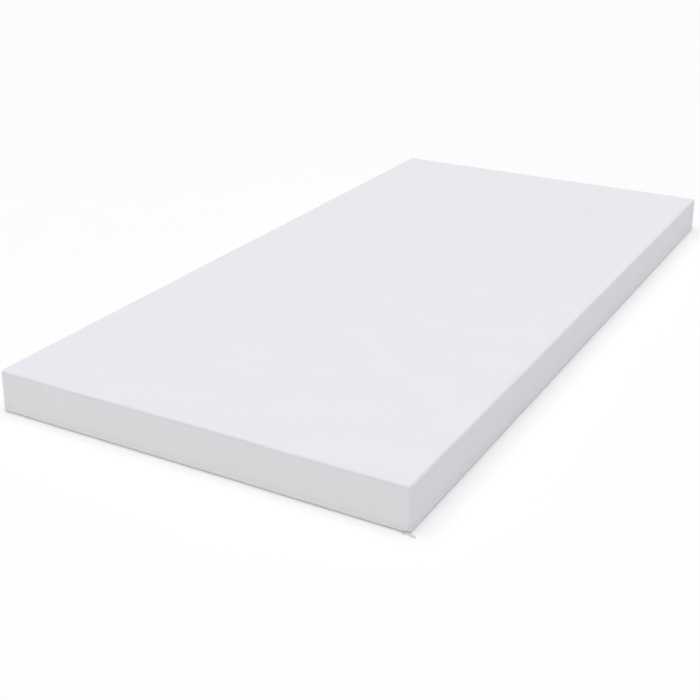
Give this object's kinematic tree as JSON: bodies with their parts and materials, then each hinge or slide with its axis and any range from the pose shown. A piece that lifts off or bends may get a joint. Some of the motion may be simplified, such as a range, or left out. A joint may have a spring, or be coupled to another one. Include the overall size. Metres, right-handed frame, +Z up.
{
  "type": "memory foam mattress",
  "caption": "Low single mattress: memory foam bonded on a support foam base inside a plain white knitted cover that zips open all round just above the underside.",
  "frame": {"origin": "Centre of the flat underside, on the surface that the mattress rests on.", "axes": "+X across the width, +Y along the length, +Z up. The zip is parked at the corner of the -Y end and the +X side."},
  "size_m": [1.0148, 2.0063, 0.1],
  "materials": {
    "cover_knit": "matte",
    "underside_knit": "matte",
    "zip_tape": "matte",
    "zip_coil": "satin",
    "thread": "satin",
    "label_satin": "satin",
    "zip_metal": "satin",
    "support_foam": "matte",
    "memory_foam": "matte"
  },
  "bodies": {
    "lower_cover": {"cover_underside_panel": "underside_knit", "zip_tape_lower": "zip_tape", "underside_seam_thread": "thread", "zip_coil_lower": "zip_coil", "zip_stop_closed_end": "zip_metal", "zip_stop_start": "zip_metal"},
    "core": {"support_foam_base": "support_foam", "memory_foam_layer": "memory_foam"},
    "upper_cover": {"cover_top_panel": "cover_knit", "cover_top_roll_front": "cover_knit", "cover_top_roll_right": "cover_knit", "cover_top_roll_back": "cover_knit", "cover_top_roll_left": "cover_knit", "cover_border_front": "cover_knit", "cover_border_right": "cover_knit", "cover_border_back": "cover_knit", "cover_border_left": "cover_knit", "top_seam_thread": "thread", "corner_seam_thread_front_right": "thread", "corner_seam_thread_back_right": "thread", "corner_seam_thread_back_left": "thread", "corner_seam_thread_front_left": "thread", "zip_tape_upper": "zip_tape", "zip_coil_upper": "zip_coil", "hem_seam_thread": "thread", "care_label": "label_satin"},
    "slider": {"zip_slider": "zip_metal"},
    "pull": {"zip_pull": "zip_metal"}
  },
  "joints": [
    {"name": "core_lift", "type": "slide", "parent": "lower_cover", "child": "core", "axis": [0, 0, 1], "range_m": [0, 0.25]},
    {"name": "cover_lift", "type": "slide", "parent": "core", "child": "upper_cover", "axis": [0, 0, 1], "range_m": [0, 0.25]},
    {"name": "zip_slide", "type": "slide", "parent": "lower_cover", "child": "slider", "axis": [-1, 0, 0], "range_m": [0, 0.96]},
    {"name": "pull_swing", "type": "hinge", "parent": "slider", "child": "pull", "pos_m": [0.487, -1.001, 0.0025], "axis": [0, 0, -1], "range_deg": [0, 164]}
  ]
}
